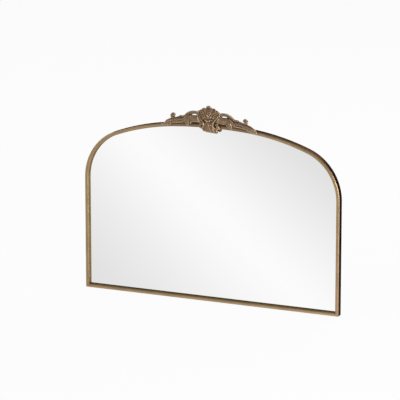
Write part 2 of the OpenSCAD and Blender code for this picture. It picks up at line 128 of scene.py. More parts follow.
def grid_faces(rings, around, first=0):
    """Quads between closed rings of points, ring after ring, numbered from a first point."""
    i, j = np.meshgrid(np.arange(rings - 1), np.arange(around), indexing="ij")
    beside = (j + 1) % around
    quads = [i * around + j, i * around + beside, (i + 1) * around + beside, (i + 1) * around + j]
    return (np.stack(quads, axis=-1).reshape(-1, 4) + first).tolist()


def closed_faces(rings, around, first=0):
    """Quads between closed rings of points, and a face across the first ring and across the last."""
    start = [first + k for k in range(around)]
    end = [k + (rings - 1) * around for k in start]
    return grid_faces(rings, around, first) + [start[::-1], end]


def per_vertex(mesh, key):
    """A mesh's positions ("co") or its normals ("normal"), one row per vertex."""
    values = np.empty(len(mesh.vertices) * 3)
    mesh.vertices.foreach_get(key, values)
    return values.reshape(-1, 3)


def edge_ends(mesh):
    """The two vertices of each edge of a mesh."""
    ends = np.empty(len(mesh.edges) * 2, dtype=np.int32)
    mesh.edges.foreach_get("vertices", ends)
    return ends.reshape(-1, 2)


def distances(points):
    """How far along a line of points each of them lies."""
    steps = np.linalg.norm(np.diff(points, axis=0), axis=1)
    return np.concatenate([[0.0], np.cumsum(steps)])


def finish(obj, node, slot):
    """Puts a piece on the mirror's body in place of a node, with the slot's material."""
    obj.data.materials.clear()
    obj.data.materials.append(MATERIALS[slot])
    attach(obj, "mirror")
    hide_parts(node)


# Rails: one section carried along the arch, and along the bottom

# Points on the face's dome, steps round a front edge, and steps along the shoulder, the haunch and
# half of the crown
DOME_POINTS = 11
EDGE_STEPS = 8
ARC_STEPS = (40, 36, 16)
# Turn of a bottom corner's rounding in degrees, a little short of the mitre, and its steps
CORNER_TURN = 43.6
CORNER_STEPS = 6
# Spacing of the same rings where they run straight, past the rounding, in millimetres
CORNER_PITCH = 0.25
# The bottom rail's other rings: how many, and how far in from its ends the first and last are
PLAIN_RINGS = 12
PLAIN_FROM = 40
# Edges over this angle, in degrees, stay sharp in the rails' smooth shading
RAIL_SHARP = 40
# Distance round the section, in metres, within which the finish is at its darkest: the UV of the
# hollow and of the closed ends lies there
DARK_ROUND = 0.004


def front_edge(centre, start):
    """A quarter turn of a rounded front edge, from a start angle in degrees, without its first point."""
    angle = np.radians(np.linspace(start, start + 90, EDGE_STEPS + 1)[1:])
    return np.stack([centre + EDGE_R * np.cos(angle), EDGE_R + EDGE_R * np.sin(angle)], axis=-1)


def rail_section():
    """The section's outline as points (inwards, back), from the rear of its outer side, round the face.

    The face between its two round edges is a shallow dome, a parabola DOME high.
    """
    share = np.linspace(0, 1, DOME_POINTS + 2)[1:-1]
    dome = np.stack([EDGE_R + (RAIL_W - 2 * EDGE_R) * share, -DOME * 4 * share * (1 - share)], axis=-1)
    parts = [
        [(0.0, RAIL_DEPTH), (0.0, RAIL_DEPTH / 2), (0.0, EDGE_R)],
        front_edge(EDGE_R, 180),
        dome,
        [(RAIL_W - EDGE_R, 0.0)],
        front_edge(RAIL_W - EDGE_R, 270),
        [(RAIL_W, SEAT_DEPTH), (REAR_WALL, SEAT_DEPTH), (REAR_WALL, RAIL_DEPTH)],
    ]
    return np.concatenate([np.asarray(part, dtype=float) for part in parts])


SECTION = rail_section()
# The hollow's outline, a rectangle WALL inside the front part of the section
RIGHT, DEEP = RAIL_W - WALL, SEAT_DEPTH - WALL
HOLLOW = np.array([(WALL, DEEP), (WALL, WALL), (RIGHT, WALL), (RIGHT, DEEP)])
# Distances round the section, from its first point to each of the others and back to the first
ROUND = distances(np.concatenate([SECTION, SECTION[:1]]))
# Distances round it to the ends of its outer side, its face and its inner side
EDGE_TURN = EDGE_R * math.pi / 2
OUTER_SIDE_END = RAIL_DEPTH - EDGE_R
FACE_END = OUTER_SIDE_END + EDGE_TURN + RAIL_W - 2 * EDGE_R
INNER_SIDE_END = FACE_END + EDGE_TURN + SEAT_DEPTH - EDGE_R


def corner_rings(u):
    """How the section's points end at a mitre: arrays (ring, point) of inward and along distances.

    Points nearer the outside than the corner's radius turn about the corner's centre, up to the
    diagonal. The others run straight to the diagonal.
    """
    turn = np.radians(np.linspace(0, CORNER_TURN, CORNER_STEPS + 1))[:, None]
    near = u[None, :] < CORNER_R
    radius = CORNER_R - u[None, :]
    inward = np.where(near, CORNER_R - radius * np.cos(turn), u[None, :])
    left = np.arange(CORNER_STEPS, -1, -1)[:, None] * CORNER_PITCH
    along = np.where(near, CORNER_R - radius * np.sin(turn), u[None, :] + SEAM + left)
    return inward, along


def arch_arcs():
    """Shoulder, haunch and crown of the right half: centre x and z, outer radius, start and end angle."""
    first = math.acos(JOIN_COS)
    second = first + math.acos(TURN_COS)
    shoulder_x = HALF_W - SHOULDER_R
    run = shoulder_x - CROWN_HALF + math.cos(second) * SHOULDER_R
    gap = round(run / (JOIN_COS - math.cos(second)), 1)
    haunch_x, haunch_z = shoulder_x - gap * JOIN_COS, LEG_H - gap * math.sin(first)
    rise = round(haunch_x / math.cos(second), 1)
    return [
        (shoulder_x, LEG_H, SHOULDER_R, 0.0, first),
        (haunch_x, haunch_z, SHOULDER_R + gap, first, second),
        (0.0, haunch_z - rise * math.sin(second), SHOULDER_R + gap + rise, second, math.pi / 2),
    ]


def arch_rings(u):
    """Rings (ring, point) of x and z along the arch, from the right corner to the left."""
    inward, along = corner_rings(u)
    xs, zs = [HALF_W - inward[::-1]], [along[::-1]]
    for (x, z, radius, start, end), steps in zip(arch_arcs(), ARC_STEPS):
        angle = np.linspace(start, end, steps + 1)[:, None]
        if end < math.pi / 2:
            angle = angle[:-1]
        xs.append(x + (radius - u) * np.cos(angle))
        zs.append(z + (radius - u) * np.sin(angle))
    half_x, half_z = np.concatenate(xs), np.concatenate(zs)
    return np.concatenate([half_x, -half_x[-2::-1]]), np.concatenate([half_z, half_z[-2::-1]])


def bottom_rings(u):
    """Rings (ring, point) of x and z along the bottom rail, from the left corner to the right."""
    inward, along = corner_rings(u)
    plain = np.linspace(PLAIN_FROM - HALF_W, HALF_W - PLAIN_FROM, PLAIN_RINGS)[:, None] + 0 * u
    x = np.concatenate([-HALF_W + along[::-1], plain, HALF_W - along])
    z = np.concatenate([inward[::-1], 0 * plain + u, inward])
    return x, z


def rail(node, rings):
    """A hollow rail: its section and the hollow's outline on the same rings, closed at both mitres.

    UV is the length along the rail and the distance round the section, both in metres.
    """
    outlines = [(SECTION, ROUND * MM), (HOLLOW, np.linspace(0.0, DARK_ROUND, len(HOLLOW) + 1))]
    vertices, faces, corners, tubes, count = [], [], [], [], 0
    for outline, around in outlines:
        x, z = rings(outline[:, 0])
        points = to_part(x, z, 0 * x - outline[:, 1])
        length = distances(points.mean(axis=1))
        rows, columns = x.shape
        quads = np.array(grid_faces(rows, columns))
        column = np.tile(np.arange(columns), rows - 1)[:, None] + np.array([[0, 1, 1, 0]])
        uv = np.stack([length[quads // columns], around[column]], axis=-1)
        quads += count
        if outline is HOLLOW:
            quads, uv = quads[:, ::-1], uv[:, ::-1]
        vertices.append(points.reshape(-1, 3))
        faces += quads.tolist()
        corners.append(uv.reshape(-1, 2))
        tubes.append((count, rows, columns))
        count += rows * columns
    vertices = np.concatenate(vertices)
    for end in (0, 1):
        rims = [first + end * (rows - 1) * columns + np.arange(columns) for first, rows, columns in tubes]
        order = np.concatenate(rims)
        triangles = tessellate_polygon([[Vector(vertices[i]) for i in rim] for rim in rims])
        faces += [[int(order[k]) for k in triangle] for triangle in triangles]
        corners.append(np.full((3 * len(triangles), 2), DARK_ROUND / 2))
    obj = mesh_object(node, vertices, faces, np.concatenate(corners))
    obj.data.set_sharp_from_angle(angle=math.radians(RAIL_SHARP))
    finish(obj, node, "rail_gold")


# Screws and bumpers: round pieces along Y

# Points round a turned piece, and the angle in degrees over which its edges stay sharp
TURNED_SIDES = 64
TURNED_SHARP = 50
# A screw, in millimetres: radius and length of its tip, radius of its shank, height of its pan head,
# and height on the head's side at which its first ring lies
TIP_R = 0.9
TIP_L = 1.2
SHANK_R = 1.5
HEAD_H = 1.8
HEAD_SIDE = 0.35
# Shares of the head's height in its rim and in its dome, the power that rounds the dome, and the
# dome's rings with the last one's share of the radius
RIM_SHARE = 0.55
DOME_SHARE = 0.45
DOME_POWER = 2.6
DOME_RINGS = 22
DOME_END = 0.02
# Cross recess: its reach as a share of the head's radius, and in millimetres the half width of an
# arm, its depth, and how softly it starts at the arms' sides and at their ends
CROSS_REACH = 0.46
ARM_HALF = 0.36
CROSS_DEPTH = 0.9
SIDE_SOFT = 0.07
END_SOFT = 0.1
# A bumper, in millimetres: inset and height of its foot's edge, taper to the wall, and radius and
# rings of its rim there
FOOT_INSET = 0.3
FOOT_EDGE = 0.4
BUMPER_TAPER = 1.5
BUMPER_RIM = 1.0
RIM_RINGS = 9
# Rings of its dimple: shares of the foot's radius, and depths in millimetres
DIMPLE_RINGS = np.array([0.5, 0.35, 0.1])
DIMPLE_DEPTHS = np.array([0.0, 0.5, 0.6])


def places(node):
    """Boxes of a node's separate pieces, as an array (piece, low or high, axis) in metres.

    Points at one place count once, and each takes the lowest number among its neighbours until all
    the points of a piece carry the same number.
    """
    mesh = NODES[node].data
    points, same = np.unique(np.round(per_vertex(mesh, "co"), 6), axis=0, return_inverse=True)
    ends = same.ravel()[edge_ends(mesh)]
    label, before = np.arange(len(points)), None
    while before is None or (label != before).any():
        before = label.copy()
        lowest = label[ends].min(axis=1)
        for end in (0, 1):
            np.minimum.at(label, ends[:, end], lowest)
        label = label[label]
    groups = [points[label == k] for k in np.unique(label)]
    return np.array([(g.min(axis=0), g.max(axis=0)) for g in groups])


def turned(node, centres, radius, back, slot, cross=0.0):
    """Round pieces at centres (x, y, z): rings of a radius, each at a distance back from its centre.

    On rings behind the centre a cross is pressed in, as far from the middle as cross says: its depth
    is a product of two logistic steps, one across the arms and one at their ends. Each piece is
    turned by a radian from the one before.
    """
    angle = np.linspace(0, 2 * math.pi, TURNED_SIDES, endpoint=False)
    radius, back = np.asarray(radius)[:, None], np.asarray(back)[:, None]
    own = [np.abs(radius * np.cos(angle)), np.abs(radius * np.sin(angle))]
    across_arm = 1 + np.exp((np.minimum(*own) - ARM_HALF * MM) / (SIDE_SOFT * MM))
    along_arm = 1 + np.exp((np.maximum(*own) - cross) / (END_SOFT * MM))
    pressed = np.where((back > 0) & (cross > 0), CROSS_DEPTH * MM / (across_arm * along_arm), 0.0)
    vertices, faces = [], []
    for k, (x, y, z) in enumerate(centres):
        across, up = radius * np.cos(angle + k), -radius * np.sin(angle + k)
        vertices.append(np.stack([x + across, y + back - pressed, z + up], axis=-1).reshape(-1, 3))
        faces += closed_faces(radius.size, TURNED_SIDES, k * radius.size * TURNED_SIDES)
    obj = mesh_object(node, np.concatenate(vertices), faces)
    obj.data.set_sharp_from_angle(angle=math.radians(TURNED_SHARP))
    finish(obj, node, slot)


def pan_screws(node):
    """Pan-head screws with a round rim, a dome and a cross recess, where the node's screws are.

    The dome rises by the square root of 1 less a power of the share of the head's radius.
    """
    boxes = places(node)
    low, high = boxes[0]
    head = (high[0] - low[0]) / 2
    length = high[1] - low[1] - HEAD_H * MM
    centres = boxes.mean(axis=1)
    centres[:, 1] = boxes[:, 1, 1] - HEAD_H * MM
    share = np.linspace(1.0, DOME_END, DOME_RINGS)
    dome = HEAD_H * MM * (RIM_SHARE + DOME_SHARE * np.sqrt(1 - share ** DOME_POWER))
    radius = np.concatenate([[TIP_R * MM, SHANK_R * MM, SHANK_R * MM, head, head], head * share])
    back = np.concatenate([[-length, TIP_L * MM - length, 0.0, 0.0, HEAD_SIDE * MM], dome])
    turned(node, centres, radius, back, "steel", cross=CROSS_REACH * head)


def bumpers(node):
    """Rubber bumpers: low cones with a round rim and a shallow dimple at the wall."""
    boxes = places(node)
    low, high = boxes[0]
    foot = (high[0] - low[0]) / 2
    height = high[1] - low[1]
    centres = boxes.mean(axis=1)
    centres[:, 1] = boxes[:, 0, 1]
    bend = np.linspace(0, math.pi / 2, RIM_RINGS)
    rim = BUMPER_RIM * MM
    radius = np.concatenate([
        [foot - FOOT_INSET * MM, foot],
        foot - BUMPER_TAPER * MM - rim + rim * np.cos(bend),
        DIMPLE_RINGS * foot,
    ])
    back = np.concatenate([
        [0.0, FOOT_EDGE * MM],
        height - rim + rim * np.sin(bend),
        height - DIMPLE_DEPTHS * MM,
    ])
    turned(node, centres, radius, back, "rubber")


# Crest: carved forms, joined in one casting each and stored with their relief

# A form's section: power that rounds its dome, power that narrows its hollow, and width of its ridge
# as a share of its own
DOME_ROUND = 0.7
HOLLOW_ROUND = 1.5
RIDGE_WIDTH = 0.2
# A form's ends close over its half width, at least LEAST_END. The very tip is as wide as the closing
# ellipse is at TIP_SHARE of that way
LEAST_END = 0.5
TIP_SHARE = 0.02
# Rings of a bead and points round it, and the first ring's angle from its pole in radians
BEAD_RINGS = 8
BEAD_SIDES = 16
POLE = 0.02
# Size of a cell when the forms are joined
CELL = 0.6
# The pendant leans to the viewer's right below this height, by this share of the way down
LEAN_TOP = 657
LEAN = 0.4
# The crown's top, and the seam between cartouche and scroll over it: distance from the centre line,
# slope, width and lower end
CROWN_TOP = 665.2
SEAM_X = 36.0
SEAM_SLOPE = 0.2
SEAM_GAP = 0.3
SEAM_FOOT = CROWN_TOP + 3
# Share of the way to its neighbours' mean that a point moves in a pass of smoothing, and passes for
# the casting and for the two copies that its relief is measured from
SMOOTHING = 0.5
CAST_PASSES = 2
FINE_PASSES = 12
BROAD_PASSES = 70
# Distance from each copy that counts as a full step of relief
FINE_UNIT = 0.7
BROAD_UNIT = 2.0
# How much lower the relief counts at the castings' backs, and the distance over which that fades:
# a painted shadow along the casting's rims next to the rail's face, standing for the shade under its edge
RIM_SHADOW = 0.7
RIM_SHADOW_REACH = 3.0
# Gain of the relief on the middle casting and on the two side castings
MIDDLE_GAIN = 0.9
SIDE_GAIN = 1.25


def through(points, count):
    """Catmull-Rom curve through rows of values, at evenly spaced steps between the rows."""
    points = np.asarray(points, dtype=float)
    if points.ndim == 1:
        points = points[:, None]
    padded = np.concatenate([2 * points[:1] - points[1:2], points, 2 * points[-1:] - points[-2:-1]])
    t = np.linspace(0, len(points) - 1, count)
    i = np.minimum(t.astype(int), len(points) - 2)
    f = (t - i)[:, None]
    a, b, c, d = padded[i], padded[i + 1], padded[i + 2], padded[i + 3]
    square, cube = 2 * a - 5 * b + 4 * c - d, 3 * b - a - 3 * c + d
    return 0.5 * (2 * b + (c - a) * f + square * f ** 2 + cube * f ** 3)


def leaf(points, half_width, height, hollow=0.0, ridge=0.0, depth=0.8, count=36, around=28):
    """A closed form carried along a curve of (x, z, out), as vertices and faces.

    Across it the top is a dome, a power of the sine, less a hollow in the middle, plus a narrow bell
    curve for a ridge. Its underside is the same dome at the given depth. Both ends close in an
    ellipse.
    """
    centre = through(points, count)
    wide = through(half_width, count)
    high = through(height, count)
    ahead = np.gradient(centre, axis=0)
    ahead /= np.linalg.norm(ahead, axis=1, keepdims=True)
    front = np.array([[0.0, 0.0, 1.0]]) - ahead * ahead[:, 2:3]
    front /= np.maximum(np.linalg.norm(front, axis=1, keepdims=True), 1e-6)
    side = np.cross(front, ahead)
    travelled = distances(centre)[:, None]
    left = travelled[-1] - travelled
    closing = np.minimum(travelled / np.maximum(wide[0], LEAST_END), left / np.maximum(wide[-1], LEAST_END))
    closing = np.sqrt(np.clip(1 - (1 - np.clip(closing, TIP_SHARE, 1)) ** 2, 0, 1))
    angle = np.linspace(0, 2 * math.pi, around, endpoint=False)
    across, rise = np.cos(angle), np.sin(angle)
    dome = np.abs(rise) ** DOME_ROUND
    carved = 1 - hollow * (1 - across ** 2) ** HOLLOW_ROUND + ridge * np.exp(-((across / RIDGE_WIDTH) ** 2))
    up = np.where(rise > 0, dome * carved, -depth * dome)
    points = (
        centre[:, None, :]
        + side[:, None, :] * (wide * closing)[:, :, None] * across[None, :, None]
        + front[:, None, :] * (high * closing)[:, :, None] * up[None, :, None]
    )
    return points.reshape(-1, 3), closed_faces(count, around)


def leaves(rows, side=1):
    """A leaf for each row of curve, half widths, heights and settings, on one side or the other."""
    return [leaf(np.asarray(curve) * (side, 1, 1), wide, high, **more) for curve, wide, high, more in rows]


def bead(x, z, out, radius, squash=1.0):
    """A ball of rings by latitude, as vertices and faces, flattened or stretched towards the front."""
    polar = np.linspace(POLE, math.pi - POLE, BEAD_RINGS)[:, None]
    angle = np.linspace(0, 2 * math.pi, BEAD_SIDES, endpoint=False)[None, :]
    points = np.stack([
        x + radius * np.sin(polar) * np.cos(angle),
        z + radius * np.sin(polar) * np.sin(angle),
        out + squash * radius * np.cos(polar) + 0 * angle,
    ], axis=-1)
    return points.reshape(-1, 3), closed_faces(BEAD_RINGS, BEAD_SIDES)


# The cartouche on the centre line: rows of a curve (x, z, out), half widths, heights and settings
CARTOUCHE_MIDDLE = [
    # Ground out to the seams, behind the shell and behind the pendant
    ([(0, 714, 3), (0, 700, 4), (0, 686, 5), (0, 674, 5), (0, 662, 3)],
     [34, 46, 46, 44, 30], [4, 6, 7, 6, 4], {"depth": 1.2, "around": 44}),
    ([(-30, 709, 3), (0, 719, 4), (30, 709, 3)], [8, 9, 8], [4, 6, 4], {"depth": 1.2}),
    ([(0, 710, 5), (0, 692, 8), (0, 668, 8), (0, 648, 4)],
     [16, 22, 17, 14], [6, 9, 8, 5], {"depth": 1.0}),
    # Middle petal with its rolled tip
    ([(0, 696, 15), (0, 711, 14), (0, 723, 11), (0, 734.5, 8)],
     [5, 8, 11.5, 10], [6, 6, 5.5, 5], {"hollow": 0.5}),
    ([(-9, 727.5, 9), (-5.5, 731.5, 10.5), (0, 733, 11), (5.5, 731.5, 10.5), (9, 727.5, 9)],
     [2.8, 3.4, 3.6, 3.4, 2.8], [3, 3.6, 4, 3.6, 3], {}),
    # Ridge from the beads up the middle
    ([(0, 690, 18), (0, 700, 19.5), (0, 712, 17), (0, 724, 12.5)],
     [3.2, 2.6, 2.1, 1.3], [3, 3, 2.6, 1.6], {}),
    # Tongue over the beads
    ([(0, 703, 17), (0, 696, 19), (0, 688.5, 18)], [3, 4.2, 3.6], [3, 4, 3.4], {"hollow": 0.35}),
    # Low band behind the beads
    ([(-21, 687.5, 10), (-10, 685.5, 13), (0, 684.5, 14.5), (10, 685.5, 13), (21, 687.5, 10)],
     [5, 6, 6.4, 6, 5], [4, 4.4, 4.6, 4.4, 4], {"count": 48}),
    # Middle frond of the pendant
    ([(0, 678.5, 15), (0, 666, 17), (0, 651, 15), (0, 638.5, 10)],
     [2.6, 4.6, 6.2, 5.6], [4, 5.2, 4.6, 3.6], {"hollow": 0.3}),
    # Thin foot behind the fronds' ends
    ([(-30, 643.5, 3), (-16, 640.5, 4), (0, 639.5, 4), (16, 638.5, 4), (27, 639.5, 3)],
     [3, 4, 4, 4, 3], [2.5, 3, 3, 3, 2.5], {"depth": 1.2}),
]

# The cartouche to each side of it, and the beads there: x, z, out and radius
CARTOUCHE_SIDE = [
    # Petals from the middle outwards
    ([(5, 697, 15), (12.5, 710, 14), (19, 719.5, 10.5), (22, 727, 8)],
     [4, 6.5, 9.5, 8], [6, 6, 5.5, 4.5], {"hollow": 0.5}),
    ([(9, 694, 14), (20, 704.5, 12.5), (28, 712, 9.5), (34, 719, 6.5)],
     [4, 6, 8.5, 7], [6, 6, 5, 4], {"hollow": 0.5}),
    ([(12, 690, 13), (23, 697, 12), (33, 704, 9), (41, 711, 6.5)],
     [4, 5.5, 7, 5.5], [6, 5.5, 5, 4], {"hollow": 0.4}),
    # Ribs between the petals
    ([(2.5, 691, 17.5), (7, 704, 17.5), (11, 716, 14), (13.5, 726, 10)],
     [2.2, 2.1, 1.9, 1.4], [2.6, 2.8, 2.6, 2], {}),
    ([(5, 690, 17), (14, 702, 16.5), (23.5, 712, 13), (29, 720, 9)],
     [2.2, 2.1, 1.9, 1.4], [2.6, 2.8, 2.6, 2], {}),
    # Lip that curls over a hollow beside the shell
    ([(24, 707, 12), (29, 713, 11.5), (36, 714.5, 10.5), (41.5, 710.5, 9), (40.5, 704, 9),
      (36, 701.5, 9.5)],
     [2, 2.7, 3.2, 3.3, 3, 2.4], [3, 3.6, 4, 4, 3.6, 3], {"count": 48}),
    # Long double curve down the boss, with a curl at its foot
    ([(39, 701, 11), (34, 693, 13.5), (27.5, 685, 14.5), (21, 676.5, 16.5), (18, 667.5, 17),
      (19, 660, 15.5), (25, 654.5, 12.5), (33, 654, 10.5), (37, 659, 9.5), (34, 663.5, 10),
      (30, 662, 11)],
     [1.6, 2, 2.5, 3.6, 4.4, 4.3, 4, 3.7, 3.3, 2.8, 2.2],
     [3, 3.4, 3.8, 4.6, 5, 5, 4.5, 4, 3.8, 3.4, 3], {"count": 80}),
    # Leaves between the petals and the double curve
    ([(9, 702, 16), (10, 695.5, 17.5), (8.5, 689.5, 16.5)],
     [2.8, 3.8, 3], [3, 3.8, 3.2], {"hollow": 0.35}),
    ([(21, 702, 13), (19.5, 695, 15), (16.5, 689, 14.5)],
     [2.8, 3.8, 3], [3, 3.8, 3.2], {"hollow": 0.35}),
    ([(30, 700, 11), (26.5, 691, 12.5), (22, 683, 13)], [3, 4, 3], [3.4, 4, 3.4], {"hollow": 0.3}),
    # Shoulder that carries the side leaf's body up to the double curve
    ([(20, 685.5, 8), (34, 685.5, 8.8), (50, 685.5, 9.8)],
     [8, 11, 12], [6, 7.2, 7.8], {"around": 40}),
    # Small leaf over the curl
    ([(36, 676, 7), (30, 668, 9), (27.5, 661, 8)], [4.6, 5, 4], [4.5, 5, 4], {"hollow": 0.3}),
    # Fronds of the pendant
    ([(3, 678, 15), (8, 665, 16), (12, 650, 13), (13, 638.5, 9)],
     [2.6, 4.6, 6, 5.4], [4, 5, 4.4, 3.4], {"hollow": 0.3}),
    ([(7, 677, 14), (16, 665, 14), (23, 651, 10.5), (25.5, 639.5, 7)],
     [2.6, 4.6, 5.6, 5], [3.6, 4.6, 4.2, 3.2], {"hollow": 0.35}),
    # Lobe under the curl
    ([(24, 662, 6), (34, 656.5, 6), (43, 655, 4)], [6, 6.6, 4.6], [4, 4.5, 3.5], {"depth": 1.2}),
]
SIDE_BEADS = [
    (12.4, 684.2, 16, 3.3), (6.4, 682.2, 18, 2.9), (35.5, 706.5, 9, 2.2), (31.5, 658.5, 12, 2.6),
]

# The right side casting from the seam to its tip
SCROLL = [
    # Ground that the leaves lie on, and the parts of it round the window
    ([(28, 685, 2), (50, 684, 2.5), (66, 682.5, 2.5), (80, 679.5, 3), (104, 677, 3), (130, 672, 3),
      (156, 665.5, 2.5), (182, 654.5, 2)],
     [11, 11.5, 13, 15, 14.5, 11, 8.5, 4.5], [4, 5, 5, 5, 5, 4.5, 3.5, 2.5],
     {"depth": 1.2, "count": 60, "around": 40}),
    ([(34, 701, 3), (43, 700.5, 4), (51, 698, 4)], [8, 7, 4], [4, 5, 4], {"depth": 1.2}),
    ([(69, 694, 3), (80, 696, 4), (91, 694, 3)], [6, 9, 7], [4, 5, 4], {"depth": 1.2}),
    ([(36, 704, 3), (58, 704.5, 3), (78, 702, 3)], [4, 4.2, 4.4], [3, 3, 3], {"depth": 1.2}),
    # C-scroll band with its hollow channel, curling in at its lower end
    ([(34, 703, 6), (45, 707.3, 7), (58, 708.3, 7.5), (70, 707, 7.5), (81, 703, 7), (90, 697, 7),
      (95.5, 689.5, 7), (93.5, 683, 8), (87.5, 682, 8.5), (85, 686.5, 9), (89, 689.5, 9)],
     [3.4, 4.1, 4.4, 4.5, 4.5, 4.4, 4, 3.4, 2.9, 2.4, 2],
     [4.5, 5.5, 6, 6, 5.5, 5, 4.5, 4, 4, 3.5, 3], {"hollow": 0.4, "depth": 1.0, "count": 90}),
    # Swelling body of the acanthus
    ([(26, 686, 6), (42, 685.5, 9), (57, 685, 10.5), (70, 685, 10), (82, 684, 8)],
     [9, 11.5, 12, 11.5, 9], [6, 7.5, 8, 7.5, 6], {"around": 40}),
    # Folds that sweep down over the body from the shell
    ([(38, 699, 9), (49, 694.5, 13), (59, 688.5, 15), (67, 680.5, 14), (71, 674.5, 11)],
     [2.6, 3.8, 4.4, 3.8, 2.4], [3.4, 4.4, 5, 4.4, 3], {"hollow": 0.45, "count": 48}),
    ([(33, 695, 9), (43, 690, 13), (52, 684.5, 14.5), (59.5, 678, 13.5), (62, 674.5, 11)],
     [2.6, 3.8, 4.2, 3.4, 2.2], [3.4, 4.2, 4.6, 4, 3], {"hollow": 0.45, "count": 48}),
    ([(33, 687.5, 10.5), (40, 683.5, 12.5), (47, 678.5, 12.5), (50.5, 675, 11)],
     [2.4, 3.2, 3, 2.0], [3, 3.8, 3.6, 2.6], {"hollow": 0.4, "count": 40}),
    # Long flutes on the body
    ([(28, 678, 7), (42, 677.5, 9.5), (56, 677, 11), (68, 676, 10)],
     [4, 5, 5.4, 4.6], [5, 6, 6.4, 5], {}),
    ([(44, 693.5, 10), (56, 693.5, 11.5), (68, 693.5, 11), (78, 691, 10)],
     [3, 3.8, 3.8, 3], [4, 4.6, 4.6, 3.6], {}),
    # Broad lobes that turn down over the rail
    ([(64, 692, 10.5), (75, 686, 12.5), (82.5, 675, 12.5), (86, 663, 9.5), (87, 654, 5.5)],
     [4.4, 6.6, 7.4, 6.8, 4.4], [4.4, 5, 5, 4.6, 3.8], {"hollow": 0.35, "ridge": 0.25, "count": 48}),
    ([(60, 685, 11.5), (68, 679.5, 12.5), (73.5, 670.5, 11), (75, 662, 7.5)],
     [3.4, 4.8, 5, 3.4], [4, 4.8, 4.6, 3.4], {"hollow": 0.4}),
    ([(78, 692, 11), (89, 686, 13), (97, 677, 12), (101, 667, 9)],
     [3.6, 5, 5, 3.6], [4.4, 5, 4.8, 3.6], {"hollow": 0.45}),
    ([(90, 684, 10), (100, 678.5, 12), (107.5, 671, 10.5), (111, 664.5, 8)],
     [3, 4.2, 4.2, 2.8], [4, 4.6, 4.2, 3], {"hollow": 0.45}),
    # Long leaf to the tip: main rib, lower rib and upper edge
    ([(92, 680, 9), (110, 678.5, 10.5), (130, 675, 10.5), (150, 669.5, 9), (168, 662, 7.5),
      (182, 655.5, 6)],
     [5, 6, 6, 5.4, 4.6, 3], [4.5, 5, 5, 4.5, 3.8, 2.8], {"ridge": 0.35, "count": 64}),
    ([(104, 669.5, 9), (118, 668, 10), (132, 665.5, 9.5), (144, 661.5, 8)],
     [2.6, 3.2, 3.2, 2.2], [3.4, 4, 3.8, 2.8], {}),
    ([(98, 686, 6), (112, 686, 7), (128, 681, 7), (145, 677, 7), (160, 671.5, 6), (175, 663.5, 4.5)],
     [4, 4.4, 3.8, 4, 3.8, 2.6], [4, 4.5, 4, 4, 3.6, 2.8], {"hollow": 0.3, "count": 56}),
    # Small leaf that stands up behind the C-scroll
    ([(99, 684, 7), (106, 688, 8.5), (114, 689.5, 8.5)],
     [3.6, 4.2, 3.2], [4, 4.4, 3.6], {"hollow": 0.4}),
    # Stem and curl of the bud
    ([(126, 676, 7), (138, 678.5, 8), (146.5, 683, 8), (149, 689.5, 7.5), (145.5, 694.5, 7),
      (140, 695, 7), (136.8, 691, 7.5), (138.5, 687, 8)],
     [3.4, 4.6, 4.6, 4.2, 4, 3.8, 3.2, 2.2], [3.6, 4.6, 5, 5, 4.8, 4.6, 4.2, 3],
     {"hollow": 0.15, "depth": 1.0, "count": 72}),
    # Fronds that turn down over the rail towards the tip
    ([(120, 678, 9), (133, 673, 11.5), (144, 666.5, 11), (151, 659, 8)],
     [2.8, 4, 4, 2.6], [3.6, 4.2, 4, 2.8], {"hollow": 0.45}),
    ([(140, 674, 9), (150, 667.5, 10.5), (156, 659.5, 9.5), (158.5, 652, 6.5)],
     [3, 4.2, 4.4, 3], [3.6, 4.4, 4.2, 3], {"hollow": 0.45}),
    ([(152, 670.5, 8), (161, 663.5, 9.5), (166.5, 655.5, 8.5), (168, 647.5, 5.5)],
     [3, 4.2, 4.6, 3.6], [3.6, 4.4, 4.4, 3.4], {"hollow": 0.4}),
    ([(164, 666, 7), (172, 659.5, 8), (177.5, 652.5, 7), (179, 647.5, 5)],
     [2.8, 3.8, 4, 2.8], [3.4, 4, 3.8, 2.8], {"hollow": 0.4}),
    ([(174, 661, 6), (181, 656, 6.5), (186, 650.5, 5)],
     [2.8, 3.8, 3], [3.2, 3.8, 3], {"hollow": 0.3}),
]
# Its beads: x, z, out, radius, and the squash of those that aren't round
SCROLL_BEADS = [
    (114.5, 690, 9, 3.2), (89, 686, 10.5, 2.5), (142.4, 689.2, 9, 3.4, 1.2), (143.0, 688.5, 5, 7.0, 0.6),
    (186, 651.5, 6.5, 3.8, 0.9), (104, 672.5, 11, 2.4),
]


def cartouche_forms():
    """The middle casting: a fluted shell, its side scrolls, a row of beads and a leafy pendant."""
    forms = leaves(CARTOUCHE_MIDDLE)
    for side in (-1, 1):
        forms += leaves(CARTOUCHE_SIDE, side) + [bead(side * x, *more) for x, *more in SIDE_BEADS]
    forms.append(bead(0, 681.6, 18.6, 2.9))
    for points, _ in forms:
        points[:, 0] += LEAN * np.clip(LEAN_TOP - points[:, 1], 0, None)
    return forms


def scroll_forms():
    """The right side casting: acanthus leaf, C-scroll over a window, long leaf and curled bud."""
    return leaves(SCROLL) + [bead(*row) for row in SCROLL_BEADS]


def at_seam(points, middle):
    """Presses points that pass the castings' seam or the rail's face back on to it."""
    seam = SEAM_X + SEAM_SLOPE * (points[:, 1] - CROWN_TOP)
    x = points[:, 0]
    if middle:
        held = np.where(points[:, 1] > SEAM_FOOT, np.clip(x, -seam, seam), x)
    else:
        held = np.maximum(x, seam + SEAM_GAP)
    return np.stack([held, points[:, 1], np.maximum(points[:, 2], 0.0)], axis=-1)


